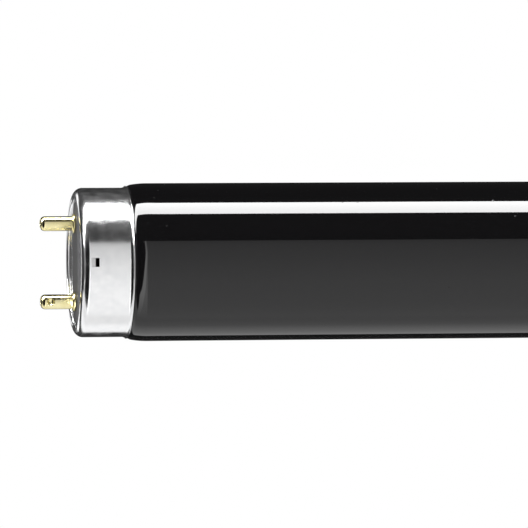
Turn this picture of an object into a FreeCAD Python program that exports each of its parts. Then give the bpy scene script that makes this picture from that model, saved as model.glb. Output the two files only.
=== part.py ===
import FreeCAD, Part
import math
import os

# A straight blacklight fluorescent tube with two contact pins at each end.
# Lengths are in millimetres. X runs along the tube, and the pins of an end stand one above the other in Z.
# The origin is the tube's middle. Each end is drawn once, with its depth counted from the crest of the cap's
# rim towards the middle, then set at the left end and turned half round for the right end.

# Whole lamp
lamp_length = 437.4          # from the crest of one cap's rim to the other's

# Sealed tube of black filter glass
glass_radius = 12.86
neck_step = 1.46             # how far the tube is drawn in for its cap
glass_end_depth = 3.4        # the tube's end, inside the cap
glass_end_round = 1.0        # outer edge of the melted end
shoulder_depth = 11.15       # where the tube has its full radius
shoulder_round = 5.0
shoulder_slope = 34.0        # steepest angle of the shoulder, in degrees
neck_root_round = 2.0

# Stem, the inward funnel that the tube's end is sealed to, and the closed pumping tube in it
funnel_flare_round = 4.8
stem_bore_radius = 4.8
stem_depth = 26.0            # floor of the funnel, where the lead wires come out of the glass
pump_tube_radius = 2.0
pump_tip_depth = 5.0

# Capping cement, the ring between the neck of the glass and the shell
cement_thickness = 0.5
cement_front_depth = 4.6
cement_length = 2.0

# Cap shell, drawn from one piece of thin aluminium sheet
sheet = 0.25
rim_shoulder_round = 1.4     # outside of the raised rim
rim_inner_round = 0.35       # inside of the raised rim
face_depth = 0.52            # the cap's face lies this far below the rim's crest
flare_start_depth = 7.8
flare_round = 0.85           # bell mouth over the glass
flare_turn = 50.0            # angle through which the mouth turns out, in degrees

# Lanced tabs in the shell, one on each side, which lock the insulating plate
tab_start_depth = 1.4
tab_length = 0.85
tab_width = 1.4
tab_drop = 0.4               # how far the free end is pushed in
tab_slot_side_gap = 0.02
tab_slot_rear_gap = 0.55
tab_slot_height = 1.0        # of the cutter, set astride the wall

# Insulating plate, moulded, with an oblong bar that stands out through the window in the cap's face
bar_end_gap = 0.5            # from the bar's end to the rim's inner wall
bar_width = 7.1
bar_rise = 0.27              # height of the bar above the cap's face
bar_edge_round = 0.12
window_clearance = 0.08
plate_clearance = 0.3        # radial, inside the shell
plate_rim_thickness = 0.68
hub_inset = 0.6              # the hub's outline lies this far inside the bar's
hub_thickness = 1.45         # thick middle behind the plate's rim, which holds the pins

# Hollow brass contact pins
pin_spacing = 12.7
pin_radius = 1.2
pin_wall = 0.45
pin_reach = 5.5              # from the rim's crest plane out to the tip
pin_tip_round = 0.8
pin_tip_hole_radius = 0.35
ring_radius = 1.6            # ring that stops the pin on the bar
ring_thickness = 0.45
ring_edge_round = 0.15
shank_radius = 1.4           # the thicker stretch that the plate holds
shank_clearance = 0.02
rivet_radius = 1.75          # inner end, spread over the back of the plate
rivet_thickness = 0.3
crimp_from_tip = 1.65
crimp_punch_radius = 0.62
crimp_clearance = 0.02       # between the pushed-in wall and the lead wire

# Lead wires, from the stem to the pins
lead_radius = 0.25
lead_stem_offset = 3.3
lead_bend_round = 3.0
lead_lean = 45.0             # slope of the middle run, in degrees
lead_straight = 0.9          # straight run behind the pin before the wire leans in
lead_tip_inset = 0.15        # the wire ends this far inside the pin's tip

# Directions in a profile, as angles in degrees from the depth direction
half_turn = math.degrees(math.pi)
whole_turn = 2.0 * half_turn
outward = half_turn / 2.0
frontward = half_turn
same_place = 1e-6            # points and planes closer than this count as one

origin = FreeCAD.Vector(0.0, 0.0, 0.0)
along = FreeCAD.Vector(1.0, 0.0, 0.0)
across = FreeCAD.Vector(0.0, 1.0, 0.0)
upward = FreeCAD.Vector(0.0, 0.0, 1.0)

# Sizes that follow from those above
neck_radius = glass_radius - neck_step
shell_bore_radius = neck_radius + cement_thickness
shell_radius = shell_bore_radius + sheet
crest_radius = shell_radius - rim_shoulder_round
face_radius = crest_radius - rim_inner_round
bar_length = 2.0 * (face_radius - bar_end_gap)
hub_length = bar_length - 2.0 * hub_inset
hub_width = bar_width - 2.0 * hub_inset
pin_bore_radius = pin_radius - pin_wall
pin_offset = pin_spacing / 2.0

# Depths that follow
web_back_depth = face_depth + sheet
bar_top_depth = face_depth - bar_rise
plate_back_depth = web_back_depth + plate_rim_thickness
hub_back_depth = plate_back_depth + hub_thickness


def point(depth, radius):
    """A point of a profile: depth along the tube, radius away from its axis."""
    return FreeCAD.Vector(depth, 0.0, radius)


def on_circle(centre, radius, angle):
    """The point of a profile's circle at an angle in degrees, counted from the depth direction."""
    turn = math.radians(angle)
    return centre + point(radius * math.cos(turn), radius * math.sin(turn))


def line(start, end):
    return Part.LineSegment(start, end).toShape()


def arc(centre, radius, start_angle, end_angle):
    middle_angle = (start_angle + end_angle) / 2.0
    start = on_circle(centre, radius, start_angle)
    middle = on_circle(centre, radius, middle_angle)
    end = on_circle(centre, radius, end_angle)
    return Part.Arc(start, middle, end).toShape()


def closed_face(edges):
    """A flat face inside a chain of edges, which a last straight edge closes."""
    first = edges[0].firstVertex().Point
    last = edges[-1].lastVertex().Point
    if first.sub(last).Length > same_place:
        edges = edges + [line(last, first)]
    return Part.Face(Part.Wire(edges))


def turned(edges, centre=origin):
    """A solid of revolution about the line through centre along X."""
    return closed_face(edges).revolve(centre, along, whole_turn)


def joined(curves):
    """The chain of arcs with a straight edge wherever one arc's end isn't the next one's start."""
    chain = [curves[0]]
    for curve in curves[1:]:
        end = chain[-1].lastVertex().Point
        start = curve.firstVertex().Point
        if end.sub(start).Length > same_place:
            chain.append(line(end, start))
        chain.append(curve)
    return chain


def oblong(length, width, front_depth, back_depth):
    """An upright bar with round ends, length in Z and width in Y."""
    end_radius = width / 2.0
    end_offset = length / 2.0 - end_radius
    top = FreeCAD.Vector(front_depth, 0.0, end_offset)
    low = FreeCAD.Vector(front_depth, 0.0, -end_offset)
    side = across * end_radius
    end_height = upward * end_radius
    outline = Part.Wire([
        Part.Arc(top + side, top + end_height, top - side).toShape(),
        line(top - side, low - side),
        Part.Arc(low - side, low - end_height, low + side).toShape(),
        line(low + side, top + side),
    ])
    return Part.Face(outline).extrude(along * (back_depth - front_depth))


def edges_at(shape, depth):
    """The edges of a shape that lie flat at one depth."""
    return [edge for edge in shape.Edges
            if abs(edge.BoundBox.XMin - depth) < same_place and abs(edge.BoundBox.XMax - depth) < same_place]


def make_glass_end_profile():
    """Outside of the left half of the tube, from the funnel's floor round the melted end to the full radius."""
    floor = point(stem_depth, stem_bore_radius)
    flare_centre = point(glass_end_depth + funnel_flare_round, stem_bore_radius + funnel_flare_round)
    end_centre = point(glass_end_depth + glass_end_round, neck_radius - glass_end_round)
    shoulder_centre = point(shoulder_depth, glass_radius - shoulder_round)
    steep_angle = outward + shoulder_slope
    steep = on_circle(shoulder_centre, shoulder_round, steep_angle)
    slope = math.radians(shoulder_slope)
    root_top_radius = neck_radius + neck_root_round * (1.0 - math.cos(slope))
    slope_run = (steep.z - root_top_radius) / math.tan(slope)
    root_depth = steep.x - slope_run - neck_root_round * math.sin(slope)
    root_centre = point(root_depth, neck_radius + neck_root_round)
    return joined([
        line(floor, point(flare_centre.x, stem_bore_radius)),
        arc(flare_centre, funnel_flare_round, -outward, -frontward),
        arc(end_centre, glass_end_round, frontward, outward),
        arc(root_centre, neck_root_round, -outward, -outward + shoulder_slope),
        arc(shoulder_centre, shoulder_round, steep_angle, outward),
    ])


def make_glass_envelope():
    """The sealed tube as one solid, with the outer form of its stems and pumping tubes."""
    middle_depth = lamp_length / 2.0
    outline = make_glass_end_profile()
    full = outline[-1].lastVertex().Point
    floor = outline[0].firstVertex().Point
    outline = outline + [
        line(full, point(middle_depth, glass_radius)),
        line(point(middle_depth, glass_radius), point(middle_depth, 0.0)),
        line(point(middle_depth, 0.0), point(stem_depth, 0.0)),
        line(point(stem_depth, 0.0), floor),
    ]
    half = turned(outline)
    tip_centre = point(pump_tip_depth + pump_tube_radius, 0.0)
    pump_tube = turned([
        arc(tip_centre, pump_tube_radius, frontward, outward),
        line(point(tip_centre.x, pump_tube_radius), point(stem_depth, pump_tube_radius)),
        line(point(stem_depth, pump_tube_radius), point(stem_depth, 0.0)),
    ])
    half = half.fuse(pump_tube).removeSplitter()
    return at_left(half).fuse(at_right(half)).removeSplitter()


def make_tab(side):
    """A lanced tab that leans in from the wall of the shell, and the slot that is cut round it."""
    wall_middle = shell_radius - sheet / 2.0
    root_radius = math.sqrt(shell_radius ** 2 - (tab_width / 2.0) ** 2)
    lean = math.atan2(tab_drop, tab_length)
    thickness = FreeCAD.Vector(-sheet * math.sin(lean), -side * sheet * math.cos(lean), 0.0)
    root = FreeCAD.Vector(tab_start_depth, side * root_radius, -tab_width / 2.0)
    tip = root + FreeCAD.Vector(tab_length, -side * tab_drop, 0.0)
    back = FreeCAD.Vector(-sheet, 0.0, 0.0)
    foot = root + FreeCAD.Vector(0.0, -side * sheet, 0.0)
    corners = [root, tip, tip + thickness, foot, foot + back]
    tab = Part.Face(Part.makePolygon(corners + corners[:1])).extrude(upward * tab_width)
    slot_length = tab_length + tab_slot_rear_gap
    slot_width = tab_width + 2.0 * tab_slot_side_gap
    slot_side = side * wall_middle - tab_slot_height / 2.0
    slot_corner = FreeCAD.Vector(tab_start_depth, slot_side, -slot_width / 2.0)
    slot = Part.makeBox(slot_length, tab_slot_height, slot_width, slot_corner)
    return tab, slot


def make_cap_shell():
    """The drawn cap: recessed face, raised rim, straight wall and bell mouth, then the window and the tabs."""
    inner_rim = point(rim_inner_round, crest_radius)
    outer_rim = point(rim_shoulder_round, crest_radius)
    fold_radius = face_radius + sheet
    mouth = point(flare_start_depth, shell_radius + flare_round)
    mouth_angle = -outward + flare_turn
    shell = turned(joined([
        line(point(face_depth, 0.0), point(face_depth, face_radius)),
        arc(inner_rim, rim_inner_round, -outward, -frontward),
        arc(outer_rim, rim_shoulder_round, frontward, outward),
        arc(mouth, flare_round, -outward, mouth_angle),
        arc(mouth, flare_round + sheet, mouth_angle, -outward),
        arc(outer_rim, rim_shoulder_round - sheet, outward, frontward),
        line(point(sheet, fold_radius), point(web_back_depth, fold_radius)),
        line(point(web_back_depth, fold_radius), point(web_back_depth, 0.0)),
    ]))
    window = oblong(bar_length + 2.0 * window_clearance, bar_width + 2.0 * window_clearance,
                    0.0, web_back_depth + sheet)
    shell = shell.cut(window)
    for side in (-1.0, 1.0):
        tab, slot = make_tab(side)
        shell = shell.cut(slot).fuse(tab)
    return shell.removeSplitter()


def make_insulating_plate():
    """The moulded plate: thin rim, raised bar in front, thick hub behind, and two holes for the pins."""
    plate_radius = shell_bore_radius - plate_clearance
    rim = Part.makeCylinder(plate_radius, plate_rim_thickness, point(web_back_depth, 0.0), along)
    bar = oblong(bar_length, bar_width, bar_top_depth, web_back_depth)
    bar = bar.makeFillet(bar_edge_round, edges_at(bar, bar_top_depth))
    hub = oblong(hub_length, hub_width, plate_back_depth, hub_back_depth)
    plate = rim.fuse([bar, hub]).removeSplitter()
    for height in (pin_offset, -pin_offset):
        hole = Part.makeCylinder(shank_radius + shank_clearance, hub_back_depth, point(0.0, height), along)
        plate = plate.cut(hole)
    return plate


def make_contact_pin(height, crimp_side):
    """A drawn tube with a domed tip, a stop ring, a riveted inner end and one crimp onto its lead wire."""
    ring_front = bar_top_depth - ring_thickness
    tip_centre = point(-pin_reach + pin_tip_round, pin_radius - pin_tip_round)
    ring_front_corner = point(ring_front + ring_edge_round, ring_radius - ring_edge_round)
    rivet_back = hub_back_depth + rivet_thickness
    dome_back = -pin_reach + pin_wall
    outline = joined([
        line(point(dome_back, pin_tip_hole_radius), point(-pin_reach, pin_tip_hole_radius)),
        arc(tip_centre, pin_tip_round, frontward, outward),
        line(point(tip_centre.x, pin_radius), point(ring_front, pin_radius)),
        arc(ring_front_corner, ring_edge_round, frontward, outward),
        line(point(bar_top_depth, ring_radius), point(bar_top_depth, shank_radius)),
        line(point(bar_top_depth, shank_radius), point(hub_back_depth, shank_radius)),
        line(point(hub_back_depth, rivet_radius), point(rivet_back, rivet_radius)),
        line(point(rivet_back, pin_bore_radius), point(dome_back, pin_bore_radius)),
    ])
    pin = turned(outline)
    crimp_depth = -pin_reach + crimp_from_tip
    bulge_radius = crimp_punch_radius + pin_wall
    punch_centre = FreeCAD.Vector(crimp_depth, crimp_side * (lead_radius + crimp_clearance + bulge_radius), 0.0)
    bore = Part.makeCylinder(pin_radius - pin_wall / 2.0, 2.0 * bulge_radius,
                             FreeCAD.Vector(crimp_depth - bulge_radius, 0.0, 0.0), along)
    bulge = Part.makeSphere(bulge_radius, punch_centre).common(bore)
    punch = Part.makeSphere(crimp_punch_radius, punch_centre)
    pin = pin.fuse(bulge).cut(punch).removeSplitter()
    pin.translate(upward * height)
    return pin


def make_lead_wire(side):
    """A bent wire from the stem's floor into the bore of a pin: three straight runs and two bends."""
    start = FreeCAD.Vector(-pin_reach + lead_tip_inset, 0.0, side * pin_offset)
    bend_out = FreeCAD.Vector(hub_back_depth + rivet_thickness + lead_straight, 0.0, side * pin_offset)
    lean_run = (pin_offset - lead_stem_offset) / math.tan(math.radians(lead_lean))
    bend_in = FreeCAD.Vector(bend_out.x + lean_run, 0.0, side * lead_stem_offset)
    end = FreeCAD.Vector(stem_depth, 0.0, side * lead_stem_offset)
    points = [start, bend_out, bend_in, end]
    runs = [(points[i + 1] - points[i]).normalize() for i in range(3)]
    path = []
    last = start
    for i in (1, 2):
        half_angle = runs[i - 1].getAngle(runs[i]) / 2.0
        setback = lead_bend_round * math.tan(half_angle)
        arc_start = points[i] - runs[i - 1] * setback
        arc_end = points[i] + runs[i] * setback
        inward = (runs[i] - runs[i - 1]).normalize()
        middle = points[i] + inward * (lead_bend_round / math.cos(half_angle) - lead_bend_round)
        path.append(line(last, arc_start))
        path.append(Part.Arc(arc_start, middle, arc_end).toShape())
        last = arc_end
    path.append(line(last, end))
    section = Part.Wire(Part.Circle(start, along, lead_radius).toShape())
    return Part.Wire(path).makePipeShell([section], True, True)


def make_cement_ring():
    """The ring of cement that fills the gap between the glass and the shell."""
    ring = Part.makeCylinder(shell_bore_radius, cement_length, point(cement_front_depth, 0.0), along)
    return ring.cut(Part.makeCylinder(neck_radius, cement_length, point(cement_front_depth, 0.0), along))


def at_left(shape):
    placed = shape.copy()
    placed.translate(along * (-lamp_length / 2.0))
    return placed


def at_right(shape):
    placed = at_left(shape)
    placed.rotate(origin, upward, half_turn)
    return placed


end_pieces = {
    "cap_shell": make_cap_shell(),
    "insulating_plate": make_insulating_plate(),
    "cement_ring": make_cement_ring(),
    "upper_contact_pin": make_contact_pin(pin_offset, 1.0),
    "lower_contact_pin": make_contact_pin(-pin_offset, -1.0),
    "upper_lead_wire": make_lead_wire(1.0),
    "lower_lead_wire": make_lead_wire(-1.0),
}

nodes = {"glass_envelope": make_glass_envelope()}
for name, piece in end_pieces.items():
    nodes["left_" + name] = at_left(piece)
    nodes["right_" + name] = at_right(piece)

os.makedirs("parts", exist_ok=True)
for name, shape in nodes.items():
    shape.exportStep("parts/" + name + ".step")
    print(name, "valid", shape.isValid(), "solids", len(shape.Solids), "volume", round(shape.Volume, 3))
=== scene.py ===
import math

import bpy
import numpy as np
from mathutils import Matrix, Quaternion, Vector


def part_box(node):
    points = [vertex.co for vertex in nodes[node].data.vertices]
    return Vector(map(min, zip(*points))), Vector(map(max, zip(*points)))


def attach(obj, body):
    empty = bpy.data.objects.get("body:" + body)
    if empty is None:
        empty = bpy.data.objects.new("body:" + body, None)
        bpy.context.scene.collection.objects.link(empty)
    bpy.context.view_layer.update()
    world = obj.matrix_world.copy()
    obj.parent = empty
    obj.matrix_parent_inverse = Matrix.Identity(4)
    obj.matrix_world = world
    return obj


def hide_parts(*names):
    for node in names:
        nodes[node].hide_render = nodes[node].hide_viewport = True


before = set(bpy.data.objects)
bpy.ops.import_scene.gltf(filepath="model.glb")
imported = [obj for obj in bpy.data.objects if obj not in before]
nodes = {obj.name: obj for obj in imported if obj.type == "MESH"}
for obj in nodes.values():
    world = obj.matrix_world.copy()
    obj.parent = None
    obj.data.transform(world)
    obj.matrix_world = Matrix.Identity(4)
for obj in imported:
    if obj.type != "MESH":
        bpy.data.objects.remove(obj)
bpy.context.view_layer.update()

# Sealed tube of black filter glass. It is drawn from soda glass tubing, necked in at both ends for the caps,
# and closed at each end by a melted-in stem: a funnel with the sealed pumping tube in its middle.
mm = 0.001
left_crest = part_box("left_cap_shell")[0].x / mm
glass_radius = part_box("glass_envelope")[1].z / mm
cement_thickness = 0.5
neck_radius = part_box("left_cement_ring")[1].z / mm - cement_thickness
end_depth = 3.4
end_round = 1.0
root_round = 2.0
shoulder_depth = 11.9
shoulder_round = 15.0
shoulder_turn = 9.8
corner_round = 1.2
corner_slope = 50.0
funnel_round = 4.8
funnel_radius = 4.8
funnel_depth = 26.0
pump_radius = 2.0
pump_tip_depth = 5.0
glass_segments = 288
round_points = 9
end_points = 7
shoulder_points = 25
span_points = 2
wall_ring_depths = (12.5, 15.0)
wall_rings = 40
glass_colour = (0.0021, 0.002, 0.0022, 1.0)


def arc(centre_depth, centre_radius, radius, start, end, count):
    """Points (depth, radius) of a circle between two angles in degrees from the depth direction."""
    turn = np.radians(np.linspace(start, end, count))
    return np.column_stack([centre_depth + radius * np.cos(turn), centre_radius + radius * np.sin(turn)])


def straight(start, end, count):
    """Points (depth, radius) spaced evenly along a straight line, without its ends."""
    share = np.linspace(0.0, 1.0, count + 2)[1:-1, None]
    return np.array(start) * (1.0 - share) + np.array(end) * share


def around(profile, angles):
    """Points in metres: x is crest plus depth, y is radius times sine, z is radius times cosine."""
    depth, radius = profile[..., 0], profile[..., 1]
    x = left_crest + depth + 0.0 * angles
    return np.stack([x, radius * np.sin(angles), radius * np.cos(angles)], axis=-1) * mm


def quads(rows, columns, wrap_rows=False):
    """Corner numbers of every cell of a grid whose columns run once round and meet."""
    row, column = np.meshgrid(np.arange(rows if wrap_rows else rows - 1), np.arange(columns), indexing="ij")
    next_row, next_column = (row + 1) % rows, (column + 1) % columns
    corners = [row * columns + column, next_row * columns + column,
               next_row * columns + next_column, row * columns + next_column]
    return np.stack(corners, axis=-1).reshape(-1, 4)


def put_mesh(name, points, faces, smooth=True):
    """A mesh object at the origin from an array of points and a list of faces."""
    mesh = bpy.data.meshes.new(name)
    mesh.from_pydata(points.reshape(-1, 3).tolist(), [], faces)
    mesh.polygons.foreach_set("use_smooth", np.full(len(mesh.polygons), smooth))
    mesh.update()
    piece = bpy.data.objects.new(name, mesh)
    bpy.context.scene.collection.objects.link(piece)
    return piece


def half_turned(points):
    """The same points at the other end: a half turn about the upright axis."""
    return points * np.array([-1.0, -1.0, 1.0])


def glass_end():
    """Half of the tube's outline: pumping tube, funnel, melted end, neck, shoulder and the full radius."""
    turn, slope = math.radians(shoulder_turn), math.radians(corner_slope)
    inner_round = shoulder_round - corner_round
    corner_depth = shoulder_depth - inner_round * math.sin(turn)
    corner_radius = glass_radius - shoulder_round + inner_round * math.cos(turn)
    steep_depth = corner_depth - corner_round * math.sin(slope)
    steep_radius = corner_radius + corner_round * math.cos(slope)
    root_top = neck_radius + root_round * (1.0 - math.cos(slope))
    root_depth = steep_depth - (steep_radius - root_top) / math.tan(slope) - root_round * math.sin(slope)
    funnel_top = end_depth + funnel_round
    return np.concatenate([
        arc(pump_tip_depth + pump_radius, 0.0, pump_radius, 180.0, 90.0, round_points),
        straight((pump_tip_depth + pump_radius, pump_radius), (funnel_depth, pump_radius), span_points),
        [[funnel_depth, pump_radius], [funnel_depth, funnel_radius]],
        straight((funnel_depth, funnel_radius), (funnel_top, funnel_radius), span_points),
        arc(funnel_top, funnel_radius + funnel_round, funnel_round, 270.0, 180.0, round_points),
        arc(end_depth + end_round, neck_radius - end_round, end_round, 180.0, 90.0, end_points),
        straight((end_depth + end_round, neck_radius), (root_depth, neck_radius), span_points),
        arc(root_depth, neck_radius + root_round, root_round, -90.0, corner_slope - 90.0, round_points),
        arc(corner_depth, corner_radius, corner_round, 90.0 + corner_slope, 90.0 + shoulder_turn,
            shoulder_points),
        arc(shoulder_depth, glass_radius - shoulder_round, shoulder_round, 90.0 + shoulder_turn, 90.0,
            shoulder_points)[1:],
        [[depth, glass_radius] for depth in wall_ring_depths],
    ])


half = glass_end()
far_half = half[::-1] * [-1.0, 1.0] + [-2.0 * left_crest, 0.0]
middle = straight(half[-1], far_half[0], wall_rings)
outline = np.concatenate([half, middle, far_half])
outline[[0, -1], 1] = 0.0
turn = np.linspace(0.0, 2.0 * math.pi, glass_segments, endpoint=False)
rings = around(outline[1:-1, None, :], turn[None, :])
tips = np.array([[left_crest + outline[0, 0], 0.0, 0.0], [left_crest + outline[-1, 0], 0.0, 0.0]]) * mm
ring_count = len(outline) - 2
first = np.arange(glass_segments)
second = (first + 1) % glass_segments
last_ring = (ring_count - 1) * glass_segments
left_pole, right_pole = ring_count * glass_segments, ring_count * glass_segments + 1
left_fan = np.column_stack([np.full(glass_segments, left_pole), first, second])
right_fan = np.column_stack([last_ring + first, np.full(glass_segments, right_pole), last_ring + second])
glass_faces = quads(ring_count, glass_segments).tolist() + left_fan.tolist() + right_fan.tolist()
glass = put_mesh("black_glass_tube", np.concatenate([rings.reshape(-1, 3), tips]), glass_faces)


def new_material(name):
    """A material with its node tree, its shader and a helper that adds one linked node."""
    material = bpy.data.materials.new(name)
    material.use_nodes = True
    tree = material.node_tree
    shader = tree.nodes["Principled BSDF"]

    def add(kind, values=None, links=None, **settings):
        node = tree.nodes.new(kind)
        for key, value in settings.items():
            setattr(node, key, value)
        for socket, value in (values or {}).items():
            node.inputs[socket].default_value = value
        for socket, source in (links or {}).items():
            tree.links.new(source, node.inputs[socket])
        return node

    return material, tree, shader, add


def glass_material():
    """Near-black glass: faint draw lines along the tube, and sparse specks of dust that dull the gloss."""
    material, tree, shader, add = new_material("black filter glass")
    shader.inputs["Base Color"].default_value = glass_colour
    shader.inputs["IOR"].default_value = 1.5
    place = add("ShaderNodeTexCoord").outputs["Object"]
    stretched = add("ShaderNodeMapping", {"Scale": (6.0, 90.0, 90.0)}, {"Vector": place})
    lines = add("ShaderNodeTexNoise", {"Scale": 1.0, "Detail": 2.0}, {"Vector": stretched.outputs["Vector"]})
    bump = add("ShaderNodeBump", {"Strength": 0.02, "Distance": 0.0005}, {"Height": lines.outputs["Fac"]})
    tree.links.new(bump.outputs["Normal"], shader.inputs["Normal"])
    specks = add("ShaderNodeTexVoronoi", {"Scale": 420.0}, {"Vector": place})
    dust = add("ShaderNodeMapRange", {"From Min": 0.035, "From Max": 0.07, "To Min": 0.3, "To Max": 0.035},
               {"Value": specks.outputs["Distance"]})
    tree.links.new(dust.outputs["Result"], shader.inputs["Roughness"])
    return material


glass.data.materials.append(glass_material())
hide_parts("glass_envelope")
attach(glass, "root")


# Capping cement, one ring in each cap. It is a phenolic resin cement with stone filler, spread inside the
# shell and baked hard round the neck of the glass. It is out of sight between the shell and the tube.
cement_dark = (0.34, 0.27, 0.19, 1.0)
cement_pale = (0.66, 0.58, 0.46, 1.0)


def cement_material():
    """Tan, granular and dull: a fine noise colours it and roughens its surface."""
    material, tree, shader, add = new_material("baked capping cement")
    shader.inputs["Roughness"].default_value = 0.9
    place = add("ShaderNodeTexCoord").outputs["Object"]
    grains = add("ShaderNodeTexNoise", {"Scale": 1800.0, "Detail": 4.0}, {"Vector": place})
    colours = add("ShaderNodeValToRGB", links={"Fac": grains.outputs["Fac"]})
    colours.color_ramp.elements[0].color = cement_dark
    colours.color_ramp.elements[1].color = cement_pale
    tree.links.new(colours.outputs["Color"], shader.inputs["Base Color"])
    bump = add("ShaderNodeBump", {"Strength": 0.6, "Distance": 0.0001}, {"Height": grains.outputs["Fac"]})
    tree.links.new(bump.outputs["Normal"], shader.inputs["Normal"])
    return material


def dress(node, material):
    """Gives a kept CAD node its material."""
    nodes[node].data.materials.clear()
    nodes[node].data.materials.append(material)


cement = cement_material()
for side in ("left", "right"):
    dress(side + "_cement_ring", cement)


# Cap shells of thin aluminium sheet, one at each end. Each is deep drawn: recessed face, raised rim, straight
# wall and a bell mouth over the glass. The window is pierced, and a tab on each side is lanced and pushed in.
sheet = 0.25
shell_radius = neck_radius + cement_thickness + sheet
rim_outer_round = 1.4
rim_inner_round = 0.35
face_corner_round = 0.08
crest_radius = shell_radius - rim_outer_round
face_depth = 0.52
face_radius = crest_radius - rim_inner_round
mouth_depth = 7.8
mouth_round = 0.85
mouth_turn = 50.0
window_half_width = 3.63
window_end_offset = 6.35
tab_angles = (90.0, 270.0)
tab_start, tab_end, slot_end = 1.4, 2.25, 2.8
tab_half_width = 0.7
slot_half_width = 0.72
tab_half_angle = math.degrees(tab_half_width / shell_radius)
slot_half_angle = math.degrees(slot_half_width / shell_radius)
tab_drop = 0.4
even_step = 1.5
tab_patch = 7.0
beside_slot = (6.0, 4.8)
across_tab = (2.2, 1.1)
face_rings = 7
tab_rings = 5
wall_depths = (2.55, slot_end, 3.4, 5.0, 6.6, 7.5, 7.7)
corner_points, inner_points, outer_points, mouth_points = 4, 8, 26, 14
slack = 0.01
tiny = 1e-6
dull_skin = (0.86, 0.865, 0.875, 1.0)
bright_skin = (0.93, 0.93, 0.935, 1.0)


def from_tab(degrees):
    """Angle to the nearer tab, in degrees."""
    return np.minimum(np.abs(degrees - tab_angles[0]), np.abs(degrees - tab_angles[1]))


def shell_angles():
    """Angles round the cap in radians: even steps, and lines at the edges of the tabs and slots."""
    half_patch = np.array([*beside_slot, slot_half_angle, tab_half_angle, *across_tab])
    patch = np.concatenate([-half_patch, [0.0], half_patch[::-1]])
    even = np.arange(0.0, 360.0, even_step)
    clear = from_tab(even) > tab_patch
    return np.radians(np.sort(np.concatenate([even[clear], tab_angles[0] + patch, tab_angles[1] + patch])))


def window_radius(angles):
    """Distance from the axis to the oblong window's edge: the straight side's half width over the sine, or
    the end circle's offset times the cosine plus the root of its radius squared less the square of the
    offset times the sine."""
    sine, cosine = np.abs(np.sin(angles)), np.abs(np.cos(angles))
    side = window_half_width / np.maximum(sine, tiny)
    under_root = np.maximum(window_half_width ** 2 - (window_end_offset * sine) ** 2, 0.0)
    end = window_end_offset * cosine + np.sqrt(under_root)
    return np.where(side * cosine <= window_end_offset, side, end)


def shell_wall():
    """Outline of the cap from the face's outer edge to the lip, as points (depth, radius)."""
    straight_depths = np.concatenate([np.linspace(tab_start, tab_end, tab_rings), wall_depths])
    return np.concatenate([
        arc(face_depth - face_corner_round, face_radius - face_corner_round, face_corner_round, 0.0, 90.0,
            corner_points),
        arc(rim_inner_round, crest_radius, rim_inner_round, -90.0, -180.0, inner_points)[:-1],
        arc(rim_outer_round, crest_radius, rim_outer_round, 180.0, 90.0, outer_points)[:-1],
        np.column_stack([straight_depths, np.full(len(straight_depths), shell_radius)]),
        arc(mouth_depth, shell_radius + mouth_round, mouth_round, -90.0, mouth_turn - 90.0, mouth_points),
    ])


def shell_points(angles):
    """The cap's outer surface. The face's rows run from the window's edge to the rim. A tab's points are
    moved towards the axis by its drop times the share of its length that lies before them."""
    share = np.linspace(0.0, 1.0, face_rings + 1)[:-1, None]
    face_rows = window_radius(angles)[None, :] * (1.0 - share) + (face_radius - face_corner_round) * share
    face = np.stack([np.full(face_rows.shape, face_depth), face_rows], axis=-1)
    wall = shell_wall()[:, None, :] + np.zeros((1, len(angles), 1))
    profile = np.concatenate([face, wall])
    depth, radius = profile[..., 0], profile[..., 1]
    across = from_tab(np.degrees(angles)) <= tab_half_angle + slack
    on_tab = across[None, :] & (radius > shell_radius - slack)
    on_tab &= (depth > tab_start - slack) & (depth < tab_end + slack)
    drop = tab_drop * (depth - tab_start) / (tab_end - tab_start)
    profile[..., 1] -= np.where(on_tab, drop, 0.0)
    return around(profile, angles[None, :])


def shell_faces(angles, depths):
    """Every cell of the grid apart from those in the two slots."""
    cells = quads(len(depths), len(angles))
    middle_angle = np.degrees(angles + np.diff(np.append(angles, angles[0] + 2.0 * math.pi)) / 2.0)
    row, column = np.divmod(np.arange(len(cells)), len(angles))
    depth = (depths[row] + depths[row + 1]) / 2.0
    off = from_tab(middle_angle)[column]
    beside = (depth > tab_start) & (depth < tab_end) & (off > tab_half_angle)
    behind = (depth > tab_end) & (depth < slot_end)
    slot = (off < slot_half_angle) & (beside | behind)
    return cells[~slot].tolist()


def sharpen_cuts(mesh):
    """Marks the edges of the window and the slots as sharp: those with one face, in front of the mouth."""
    edge_of_corner = np.empty(len(mesh.loops), dtype=np.int32)
    mesh.loops.foreach_get("edge_index", edge_of_corner)
    uses = np.bincount(edge_of_corner, minlength=len(mesh.edges))
    ends = np.empty(2 * len(mesh.edges), dtype=np.int32)
    mesh.edges.foreach_get("vertices", ends)
    places = np.empty(3 * len(mesh.vertices), dtype=np.float32)
    mesh.vertices.foreach_get("co", places)
    depth = -left_crest - np.abs(places.reshape(-1, 3)[ends[::2], 0]) / mm
    mesh.edges.foreach_set("use_edge_sharp", (uses == 1) & (depth < mouth_depth))


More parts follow.
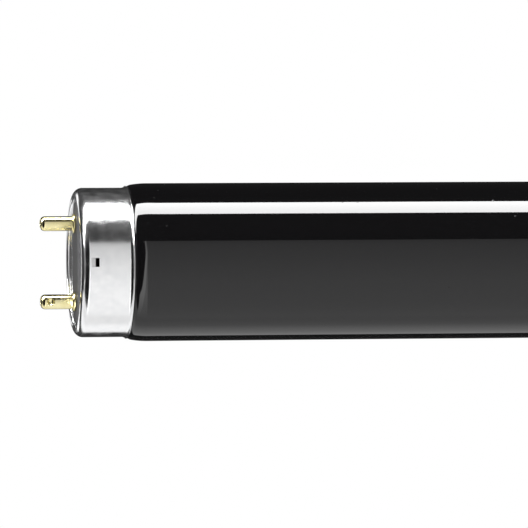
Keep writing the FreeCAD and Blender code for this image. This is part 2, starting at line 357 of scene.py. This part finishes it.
def aluminium_material():
    """Bright drawn sheet: short ripples that run round the cap, and small patches of duller skin."""
    material, tree, shader, add = new_material("bright drawn aluminium")
    shader.inputs["Metallic"].default_value = 1.0
    place = add("ShaderNodeTexCoord").outputs["Object"]
    patches = add("ShaderNodeTexNoise", {"Scale": 700.0, "Detail": 3.0}, {"Vector": place})
    colours = add("ShaderNodeValToRGB", links={"Fac": patches.outputs["Fac"]})
    colours.color_ramp.elements[0].position = 0.3
    colours.color_ramp.elements[0].color = dull_skin
    colours.color_ramp.elements[1].position = 0.7
    colours.color_ramp.elements[1].color = bright_skin
    tree.links.new(colours.outputs["Color"], shader.inputs["Base Color"])
    gloss = add("ShaderNodeMapRange", {"From Min": 0.3, "From Max": 0.7, "To Min": 0.14, "To Max": 0.21},
                {"Value": patches.outputs["Fac"]})
    tree.links.new(gloss.outputs["Result"], shader.inputs["Roughness"])
    rippled = add("ShaderNodeMapping", {"Scale": (1500.0, 250.0, 250.0)}, {"Vector": place})
    ripples = add("ShaderNodeTexNoise", {"Scale": 1.0, "Detail": 2.0}, {"Vector": rippled.outputs["Vector"]})
    bump = add("ShaderNodeBump", {"Strength": 0.06, "Distance": 0.0002}, {"Height": ripples.outputs["Fac"]})
    tree.links.new(bump.outputs["Normal"], shader.inputs["Normal"])
    return material


angles = shell_angles()
points = shell_points(angles)
depths = np.concatenate([np.full(face_rings, face_depth), shell_wall()[:, 0]])
faces = shell_faces(angles, depths)
aluminium = aluminium_material()
for side, placed in (("left", points), ("right", half_turned(points))):
    shell = put_mesh(side + "_cap", placed, faces)
    sharpen_cuts(shell.data)
    wall = shell.modifiers.new("sheet", "SOLIDIFY")
    wall.thickness = sheet * mm
    wall.offset = -1.0
    wall.use_even_offset = True
    shell.data.materials.append(aluminium)
    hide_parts(side + "_cap_shell")
    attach(shell, "root")


# Insulating plates, moulded from dark grey phenolic. Each lies against the back of its cap's face, its
# oblong bar stands out through the window, and the shell's tabs lock it. The pins are riveted in it.
plate_dark = (0.045, 0.045, 0.047, 1.0)
plate_pale = (0.085, 0.085, 0.088, 1.0)


def plate_material():
    """Matt moulded grey with fine grain in colour and surface."""
    material, tree, shader, add = new_material("moulded insulating plate")
    shader.inputs["Roughness"].default_value = 0.62
    shader.inputs["Specular IOR Level"].default_value = 0.25
    place = add("ShaderNodeTexCoord").outputs["Object"]
    grain = add("ShaderNodeTexNoise", {"Scale": 1500.0, "Detail": 3.0}, {"Vector": place})
    colours = add("ShaderNodeValToRGB", links={"Fac": grain.outputs["Fac"]})
    colours.color_ramp.elements[0].color = plate_dark
    colours.color_ramp.elements[1].color = plate_pale
    tree.links.new(colours.outputs["Color"], shader.inputs["Base Color"])
    bump = add("ShaderNodeBump", {"Strength": 0.15, "Distance": 0.00005}, {"Height": grain.outputs["Fac"]})
    tree.links.new(bump.outputs["Normal"], shader.inputs["Normal"])
    return material


plate = plate_material()
for side in ("left", "right"):
    dress(side + "_insulating_plate", plate)


# Contact pins, two at each end. Each is a brass tube drawn with a domed tip and a stop ring, riveted over the
# plate's back. Its lead wire runs up the bore, and one punch mark in the side crimps the pin onto the wire.
pin_radius = 1.2
pin_reach = 5.5
pin_offset = 6.35
tip_round = 0.8
tip_thickness = 0.45
tip_hole_radius = 0.35
tip_hole_round = 0.05
pin_bore = 0.75
ring_front = -0.2
ring_radius = 1.6
ring_front_round = 0.15
ring_back_round = 0.05
bar_top = 0.25
shank_radius = 1.4
plate_back = 2.9
rivet_radius = 1.75
rivet_thickness = 0.3
crimp_depth = -3.85
crimp_radius = 0.62
crimp_centre = 1.34
crimp_patch = 0.75
barrel_rings = (-1.5, -0.35)
bore_rings = (-2.9, -4.9)
corner_hold = 0.02
tip_points, ring_points, edge_points, crimp_rings = 14, 5, 3, 41
pin_segments = 96
brass_brown = (0.84, 0.74, 0.37, 1.0)
brass_yellow = (0.95, 0.87, 0.52, 1.0)


def pin_profile():
    """Outline of the pin's section as a closed loop: round the tip, along the outside to the rivet, and back
    through the bore."""
    tip = -pin_reach
    rivet_end = plate_back + rivet_thickness
    outside = np.concatenate([
        arc(tip + tip_round, pin_radius - tip_round, tip_round, 180.0, 90.0, tip_points),
        np.column_stack([crimp_depth + np.linspace(-crimp_patch, crimp_patch, crimp_rings),
                         np.full(crimp_rings, pin_radius)]),
        [[depth, pin_radius] for depth in (*barrel_rings, ring_front - corner_hold)],
        [[ring_front, pin_radius + corner_hold]],
        arc(ring_front + ring_front_round, ring_radius - ring_front_round, ring_front_round, 180.0, 90.0,
            ring_points),
        arc(bar_top - ring_back_round, ring_radius - ring_back_round, ring_back_round, 90.0, 0.0,
            edge_points),
        [[bar_top, shank_radius], [plate_back, shank_radius], [plate_back, rivet_radius],
         [rivet_end, rivet_radius], [rivet_end, pin_bore]],
    ])
    inside = np.concatenate([
        [[depth, pin_bore] for depth in (plate_back, *bore_rings, tip + tip_thickness)],
        [[tip + tip_thickness, tip_hole_radius], [tip + 2.0 * tip_hole_round, tip_hole_radius]],
        arc(tip + tip_hole_round, tip_hole_radius + tip_hole_round, tip_hole_round, 270.0, 180.0,
            edge_points)[:-1],
    ])
    return np.concatenate([outside, inside])


def pin_points(crimp_side, height):
    """The pin's surface. Where the punch went in, the outside's radius is the smaller of the pin's own and
    the distance from the axis to the near side of the punch's ball."""
    turn = np.linspace(0.0, 2.0 * math.pi, pin_segments, endpoint=False)
    profile = pin_profile()[:, None, :] + np.zeros((1, pin_segments, 1))
    off = turn[None, :] - crimp_side * math.pi / 2.0
    along = profile[..., 0] - crimp_depth
    cosine = np.cos(off)
    under_root = crimp_radius ** 2 - along ** 2 - (crimp_centre * np.sin(off)) ** 2
    inside_ball = (under_root > 0.0) & (cosine > 0.0) & (profile[..., 1] > pin_radius - slack)
    ball = crimp_centre * cosine - np.sqrt(np.maximum(under_root, 0.0))
    profile[..., 1] = np.where(inside_ball, np.minimum(profile[..., 1], ball), profile[..., 1])
    return around(profile, turn[None, :]) + np.array([0.0, 0.0, height * mm])


def brass_material():
    """Bright drawn brass: pale yellow with slightly browner and duller patches."""
    material, tree, shader, add = new_material("drawn pin brass")
    shader.inputs["Metallic"].default_value = 1.0
    place = add("ShaderNodeTexCoord").outputs["Object"]
    tarnish = add("ShaderNodeTexNoise", {"Scale": 450.0, "Detail": 3.0}, {"Vector": place})
    colours = add("ShaderNodeValToRGB", links={"Fac": tarnish.outputs["Fac"]})
    colours.color_ramp.elements[0].position = 0.3
    colours.color_ramp.elements[0].color = brass_brown
    colours.color_ramp.elements[1].position = 0.65
    colours.color_ramp.elements[1].color = brass_yellow
    tree.links.new(colours.outputs["Color"], shader.inputs["Base Color"])
    gloss = add("ShaderNodeMapRange", {"From Min": 0.3, "From Max": 0.7, "To Min": 0.2, "To Max": 0.13},
                {"Value": tarnish.outputs["Fac"]})
    tree.links.new(gloss.outputs["Result"], shader.inputs["Roughness"])
    return material


brass = brass_material()
pin_faces = quads(len(pin_profile()), pin_segments, wrap_rows=True).tolist()
for level, height, crimp_side in (("upper", pin_offset, 1.0), ("lower", -pin_offset, -1.0)):
    drawn = pin_points(crimp_side, height)
    for side, placed in (("left", drawn), ("right", half_turned(drawn))):
        pin = put_mesh(f"{side}_{level}_pin", placed, pin_faces)
        pin.data.materials.append(brass)
        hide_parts(f"{side}_{level}_contact_pin")
        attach(pin, "root")


# Lead wires, from each stem into the bores of the two pins. They are copper-cored nickel steel, as the glass
# seal needs, and are cut off inside the pin's tip.
wire_dull = (0.42, 0.33, 0.26, 1.0)
wire_bright = (0.72, 0.66, 0.6, 1.0)


def wire_material():
    """Drawn wire: warm grey metal with dull and bright stretches along it."""
    material, tree, shader, add = new_material("lead wire")
    shader.inputs["Metallic"].default_value = 1.0
    shader.inputs["Roughness"].default_value = 0.35
    place = add("ShaderNodeTexCoord").outputs["Object"]
    stain = add("ShaderNodeTexNoise", {"Scale": 600.0, "Detail": 2.0}, {"Vector": place})
    colours = add("ShaderNodeValToRGB", links={"Fac": stain.outputs["Fac"]})
    colours.color_ramp.elements[0].color = wire_dull
    colours.color_ramp.elements[1].color = wire_bright
    tree.links.new(colours.outputs["Color"], shader.inputs["Base Color"])
    return material


wire = wire_material()
for side in ("left", "right"):
    for level in ("upper", "lower"):
        dress(f"{side}_{level}_lead_wire", wire)


# Camera: a long lens in front of the tube and a little to the left of the part in its view, so that the left
# cap's face shows as a narrow ellipse. It is set a little above the tube, then turned about the tube's
# axis together with the studio's cards, which brings it level with the axis.
studio_lean = 2.5
aim_depth = 31.3
aim_drop = 0.43
camera_turn = math.radians(8.5)
camera_rise = math.radians(2.5)
camera_distance = 0.9
camera_lens = 375.4
sensor_width = 36.0
near_clip, far_clip = 0.05, 50.0
aim = Vector(((left_crest + aim_depth) * mm, 0.0, -aim_drop * mm))
back = Vector((-math.sin(camera_turn) * math.cos(camera_rise),
               -math.cos(camera_turn) * math.cos(camera_rise),
               math.sin(camera_rise)))
camera_data = bpy.data.cameras.new("camera")
camera_data.lens = camera_lens
camera_data.sensor_width = sensor_width
camera_data.clip_start = near_clip
camera_data.clip_end = far_clip
camera = bpy.data.objects.new("camera", camera_data)
lean = Quaternion((1.0, 0.0, 0.0), math.radians(studio_lean))
camera.location = lean @ (aim + back * camera_distance)
camera.rotation_mode = "QUATERNION"
camera.rotation_quaternion = lean @ (-back).to_track_quat("-Z", "Y")
bpy.context.scene.collection.objects.link(camera)
bpy.context.scene.camera = camera


# Studio. The tube hangs over a pale floor in a white surround, lit by a soft box overhead and a lamp in
# front. Only reflections see the cards round it: a strip overhead, screens in front and to the right with a
# glow along the left edge, the table below with the tube's shadow painted on it, dark flags between, and
# small cards at the left end.
card_rows = 48
far_x = 2.2
screen_low, screen_high = -75.0, 33.0
glow_low = -86.0
table_low = -134.5
gap_high = 78.0
behind = 180.0
screen_distance = 0.9
glow_distance = 0.88
side_flag_distance = 0.92
flag_distance = 1.0
far_left = [(0.0, -far_x)]
far_right = [(0.0, far_x)]
screen_side = [(-82.0, -0.49), (-37.0, -0.345), (-8.0, -0.318), (17.0, -0.291), (33.0, -0.3)]
glow_side = [(-86.0, -0.3), (-37.0, -0.28), (-8.0, -0.28), (17.0, -0.262), (33.0, -0.275)]
fade_side = [(-86.0, -0.19), (-37.0, -0.245), (-8.0, -0.262), (17.0, -0.25), (33.0, -0.265)]
screen_end = [(0.0, 0.8)]
strip_height = 0.6
strip_front_y, strip_rear_y = -0.146, 0.084
strip_glow = 19.0


def emitter(name, strength):
    """A plain white glowing card material."""
    material = bpy.data.materials.new(name)
    material.use_nodes = True
    tree = material.node_tree
    tree.nodes.clear()
    glow = tree.nodes.new("ShaderNodeEmission")
    glow.inputs["Color"].default_value = (1.0, 1.0, 1.0, 1.0)
    glow.inputs["Strength"].default_value = strength
    output = tree.nodes.new("ShaderNodeOutputMaterial")
    tree.links.new(glow.outputs["Emission"], output.inputs["Surface"])
    return material, tree, glow


def reflection_only(card):
    """Only reflections see this card: it neither shows, nor lights, nor shades anything."""
    card.visible_camera = False
    card.visible_diffuse = False
    card.visible_shadow = False
    card.visible_transmission = False


def curved_card(name, low, high, radius, left_side, right_side, levels):
    """Part of a cylinder about the tube's axis, between two elevations in degrees as the front sees them.
    Each side is a list of (elevation, x) pairs and levels is one of (elevation, glow) pairs; all run straight
    from pair to pair."""
    degrees = np.linspace(low, high, card_rows + 1)
    elevation = np.radians(degrees - studio_lean)[:, None]
    x = np.stack([np.interp(degrees, *zip(*left_side)), np.interp(degrees, *zip(*right_side))], axis=1)
    grid = np.stack([x, -radius * np.cos(elevation) + 0.0 * x, radius * np.sin(elevation) + 0.0 * x], axis=-1)
    row = 2 * np.arange(card_rows)
    cells = np.column_stack([row, row + 1, row + 3, row + 2])
    card = put_mesh(name, grid, cells.tolist())
    brightest = max(level for _, level in levels)
    material, tree, glow = emitter(name, brightest)
    place = tree.nodes.new("ShaderNodeTexCoord")
    parts = tree.nodes.new("ShaderNodeSeparateXYZ")
    tree.links.new(place.outputs["Object"], parts.inputs["Vector"])
    front = tree.nodes.new("ShaderNodeMath")
    front.operation = "MULTIPLY"
    front.inputs[1].default_value = -1.0
    tree.links.new(parts.outputs["Y"], front.inputs[0])
    angle = tree.nodes.new("ShaderNodeMath")
    angle.operation = "ARCTAN2"
    tree.links.new(parts.outputs["Z"], angle.inputs[0])
    tree.links.new(front.outputs["Value"], angle.inputs[1])
    share = tree.nodes.new("ShaderNodeMapRange")
    share.inputs["From Min"].default_value = math.radians(low - studio_lean)
    share.inputs["From Max"].default_value = math.radians(high - studio_lean)
    tree.links.new(angle.outputs["Value"], share.inputs["Value"])
    ramp = tree.nodes.new("ShaderNodeValToRGB")
    tree.links.new(share.outputs["Result"], ramp.inputs["Fac"])
    stops = ramp.color_ramp.elements
    while len(stops) < len(levels):
        stops.new(0.5)
    for stop, (at, level) in zip(stops, levels):
        stop.position = (at - low) / (high - low)
        stop.color = (level / brightest, level / brightest, level / brightest, 1.0)
    tree.links.new(ramp.outputs["Color"], glow.inputs["Color"])
    card.data.materials.append(material)
    reflection_only(card)


def flat_card(name, corners, strength):
    """A flat card with four corners."""
    card = put_mesh(name, np.array(corners), [[0, 1, 2, 3]], smooth=False)
    card.data.materials.append(emitter(name, strength)[0])
    reflection_only(card)


def upright_card(name, start, end, half_height, strength):
    """An upright flat card between two (x, y) places, as far below the tube's axis as above it."""
    corners = [(*start, -half_height), (*end, -half_height), (*end, half_height), (*start, half_height)]
    flat_card(name, corners, strength)


curved_card("front_screen", screen_low, screen_high, screen_distance, screen_side, screen_end,
            [(screen_low, 0.98), (-48.0, 0.97), (-28.0, 0.93), (-9.0, 0.83), (9.0, 0.72), (18.0, 0.68),
             (28.0, 0.6), (screen_high, 0.5)])
curved_card("right_screen", screen_low, screen_high, screen_distance, screen_end, far_right,
            [(screen_low, 0.75), (0.0, 0.58), (screen_high, 0.4)])
curved_card("screen_edge_glow", glow_low, screen_high, glow_distance, screen_side, glow_side,
            [(glow_low, 0.98), (-72.0, 1.5), (-45.0, 2.5), (-15.0, 2.6), (10.0, 2.4), (screen_high, 1.6)])
curved_card("screen_edge_fade", glow_low, screen_high, glow_distance, glow_side, fade_side,
            [(glow_low, 0.98), (-72.0, 1.25), (-45.0, 1.7), (-15.0, 1.5), (10.0, 1.3), (screen_high, 1.0)])
# The table sweep's darker band straight below the tube, from -104 to -91 degrees, is a painted shadow: it
# stands in for the tube's own shadow on the table.
curved_card("table_sweep", table_low, screen_low, screen_distance, far_left, far_right,
            [(table_low, 1.08), (-112.0, 1.03), (-104.0, 0.86), (-91.0, 0.84), (-84.0, 0.98),
             (screen_low, 0.98)])
strip_corners = [lean @ Vector((x, y, strip_height)) for x, y in
                 ((-far_x, strip_front_y), (far_x, strip_front_y),
                  (far_x, strip_rear_y), (-far_x, strip_rear_y))]
flat_card("overhead_strip", strip_corners, strip_glow)
curved_card("gap_flag", screen_high, gap_high, flag_distance, far_left, far_right,
            [(screen_high, 0.03), (gap_high, 0.05)])
curved_card("rear_flag", gap_high, behind, flag_distance, far_left, far_right,
            [(gap_high, 0.05), (120.0, 0.03), (behind, 0.02)])
curved_card("low_rear_flag", -behind, table_low, flag_distance, far_left, far_right,
            [(-behind, 0.03), (table_low, 0.03)])
curved_card("left_front_flag", screen_low, screen_high, side_flag_distance, far_left, screen_side,
            [(screen_low, 0.03), (-45.0, 0.008), (screen_high, 0.008)])
upright_card("left_end_card", start=(-2.2, -0.9), end=(-2.2, -0.05), half_height=0.6, strength=0.22)
upright_card("rear_left_card", start=(-0.68, 0.8), end=(-0.47, 0.8), half_height=0.35, strength=1.5)
upright_card("left_end_flag", start=(-2.25, -0.05), end=(-2.25, 1.0), half_height=1.0, strength=0.02)

# The floor takes the object's shadow. It fades out before its edge, and reflections don't see it.
floor_height = -0.12
floor_half = 1.5
fade_start, fade_end = 0.7, 1.4
floor_white = (0.9, 0.9, 0.9, 1.0)
floor_glow = 0.3
floor_corners = np.array([(-floor_half, -floor_half, floor_height), (floor_half, -floor_half, floor_height),
                          (floor_half, floor_half, floor_height), (-floor_half, floor_half, floor_height)])
floor = put_mesh("floor", floor_corners, [[0, 1, 2, 3]], smooth=False)
floor_material, floor_tree, floor_shader, floor_add = new_material("pale floor")
floor_shader.inputs["Base Color"].default_value = floor_white
floor_shader.inputs["Roughness"].default_value = 0.9
floor_shader.inputs["Emission Color"].default_value = (1.0, 1.0, 1.0, 1.0)
floor_shader.inputs["Emission Strength"].default_value = floor_glow
floor_shader.inputs["Specular IOR Level"].default_value = 0.0
floor_place = floor_add("ShaderNodeTexCoord").outputs["Object"]
from_middle = floor_add("ShaderNodeVectorMath", links={0: floor_place}, operation="LENGTH")
fade = floor_add("ShaderNodeMapRange", {"From Min": fade_start, "From Max": fade_end},
                 {"Value": from_middle.outputs["Value"]})
nothing = floor_add("ShaderNodeBsdfTransparent")
faded = floor_add("ShaderNodeMixShader", links={0: fade.outputs["Result"], 1: floor_shader.outputs["BSDF"],
                                                2: nothing.outputs["BSDF"]})
floor_tree.links.new(faded.outputs["Shader"], floor_tree.nodes["Material Output"].inputs["Surface"])
floor.data.materials.append(floor_material)
floor.visible_glossy = False

# The surround is full white to the camera and in reflections, and weaker where it lights a surface.
surround_light, surround_white = 0.25, 1.0
world = bpy.data.worlds.new("studio")
world.use_nodes = True
bpy.context.scene.world = world
world_tree = world.node_tree
world_tree.nodes.clear()
path = world_tree.nodes.new("ShaderNodeLightPath")
shown = world_tree.nodes.new("ShaderNodeMath")
shown.operation = "MAXIMUM"
world_tree.links.new(path.outputs["Is Camera Ray"], shown.inputs[0])
world_tree.links.new(path.outputs["Is Glossy Ray"], shown.inputs[1])
shown_too = world_tree.nodes.new("ShaderNodeMath")
shown_too.operation = "MAXIMUM"
world_tree.links.new(shown.outputs["Value"], shown_too.inputs[0])
world_tree.links.new(path.outputs["Is Transmission Ray"], shown_too.inputs[1])
level = world_tree.nodes.new("ShaderNodeMapRange")
level.inputs["To Min"].default_value = surround_light
level.inputs["To Max"].default_value = surround_white
world_tree.links.new(shown_too.outputs["Value"], level.inputs["Value"])
sky = world_tree.nodes.new("ShaderNodeBackground")
sky.inputs["Color"].default_value = (1.0, 1.0, 1.0, 1.0)
world_tree.links.new(level.outputs["Result"], sky.inputs["Strength"])
world_output = world_tree.nodes.new("ShaderNodeOutputWorld")
world_tree.links.new(sky.outputs["Background"], world_output.inputs["Surface"])


def soft_light(name, width, height, power, location):
    """A rectangular soft light that faces the tube's middle and that no reflection sees."""
    lamp_data = bpy.data.lights.new(name, "AREA")
    lamp_data.shape = "RECTANGLE"
    lamp_data.size = width
    lamp_data.size_y = height
    lamp_data.energy = power
    lamp = bpy.data.objects.new(name, lamp_data)
    lamp.location = location
    lamp.rotation_mode = "QUATERNION"
    lamp.rotation_quaternion = (-lamp.location).to_track_quat("-Z", "Y")
    lamp.visible_glossy = False
    bpy.context.scene.collection.objects.link(lamp)


soft_light("soft_box", width=1.6, height=0.9, power=14.0, location=(-0.1, -0.3, 1.0))
soft_light("front_light", width=0.4, height=0.6, power=38.0, location=(-0.55, -1.5, 0.2))

bpy.context.scene.view_settings.view_transform = "Standard"
